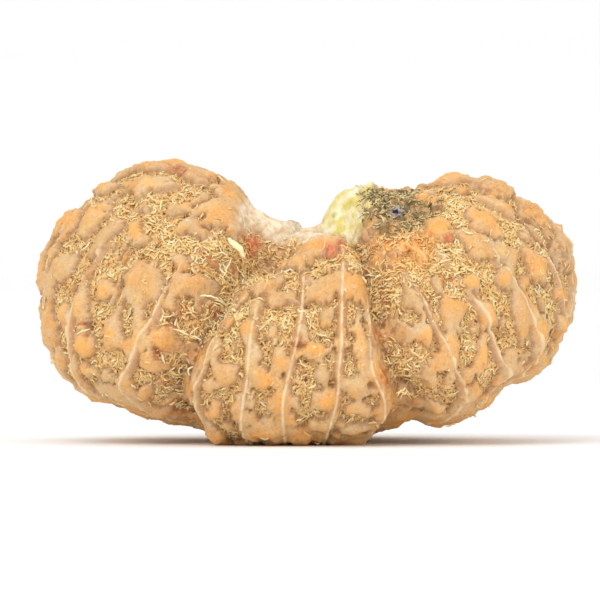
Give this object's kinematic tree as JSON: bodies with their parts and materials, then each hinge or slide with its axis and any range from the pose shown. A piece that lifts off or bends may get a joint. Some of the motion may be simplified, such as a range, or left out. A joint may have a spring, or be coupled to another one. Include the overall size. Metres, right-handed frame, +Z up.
{
  "type": "rudraksha bead",
  "caption": "Large natural rudraksha bead lying on its underside: a wide lobed seed stone with raised seams from pole to pole, tubercles between them and a notch at the stem.",
  "frame": {"origin": "on the surface that the bead stands on, under the middle of its box", "axes": "+X along the bead's width, to the right of its front; -Y towards its front; +Z up, towards the stem pole"},
  "size_m": [0.04, 0.027, 0.0209],
  "materials": {
    "seed_shell": "waxy amber and tan seed shell with cream seams, straw fibres in its crevices and a patch of dried pulp at the stem"
  },
  "bodies": {
    "root": {"bead": "seed_shell"}
  },
  "joints": []
}
